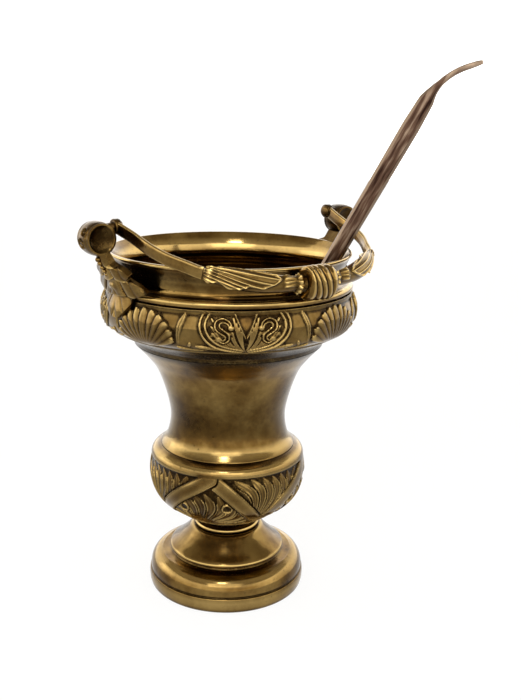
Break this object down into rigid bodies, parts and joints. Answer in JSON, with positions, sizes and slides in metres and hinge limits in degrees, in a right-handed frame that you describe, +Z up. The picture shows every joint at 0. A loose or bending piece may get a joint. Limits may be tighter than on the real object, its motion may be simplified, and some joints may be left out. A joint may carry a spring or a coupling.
{
  "type": "holy water bucket with sprinkler",
  "caption": "Footed brass pail with scroll lugs and a folding bail, holding a ball-headed sprinkler that leans in its mouth, for carrying and sprinkling blessed water.",
  "frame": {"origin": "on the floor under the middle of the whole object's bounding box", "axes": "+Z up, X through the two lugs, the bail folded towards -Y"},
  "size_m": [0.2526, 0.2136, 0.4012],
  "materials": {
    "aged_brass": "worn polish with dark patina in the relief",
    "dark_brass": "dull and darkened",
    "handle_bronze": "dark reddish brown, handled",
    "steel": "plain",
    "seal_rubber": "matt black",
    "sponge": "soft and porous"
  },
  "bodies": {
    "vessel": {"foot_base": "aged_brass", "stem_collar": "aged_brass", "lower_bowl_cup": "aged_brass", "lower_bowl_band": "aged_brass", "waist_shell": "aged_brass", "upper_bowl": "aged_brass", "neck_rim": "aged_brass", "tie_bolt": "dark_brass", "bowl_seal": "seal_rubber", "foot_washer": "steel", "foot_nut": "steel", "left_lug": "aged_brass", "right_lug": "aged_brass", "left_lug_front_rivet": "aged_brass", "left_lug_back_rivet": "aged_brass", "right_lug_front_rivet": "aged_brass", "right_lug_back_rivet": "aged_brass"},
    "bail": {"left_arm": "aged_brass", "right_arm": "aged_brass", "left_pivot_pin": "dark_brass", "right_pivot_pin": "dark_brass", "left_leaf_grip": "aged_brass", "right_leaf_grip": "aged_brass", "grip_knot": "aged_brass"},
    "sponge": {"sprinkler_sponge": "sponge"},
    "sprinkler": {"head_cap": "dark_brass", "head_bowl": "dark_brass", "sprinkler_ferrule": "dark_brass", "sprinkler_handle": "handle_bronze"}
  },
  "joints": [
    {"name": "bail_swing", "type": "hinge", "parent": "vessel", "child": "bail", "pos_m": [-0.00556, 0.01108, 0.288], "axis": [-1, 0, 0], "range_deg": [0, 120]},
    {"name": "sprinkler_lift", "type": "slide", "parent": "vessel", "child": "sponge", "axis": [0.2019, -0.2045, 0.9578], "range_m": [0, 0.32]},
    {"name": "sprinkler_swing", "type": "hinge", "parent": "sponge", "child": "sprinkler", "pos_m": [-0.01362, 0.03475, 0.0755], "axis": [-1, 0, 0], "range_deg": [0, 27]}
  ],
  "couplings": [
    {"joint": "sprinkler_swing", "follows": "bail_swing", "ratio": 0.22}
  ]
}
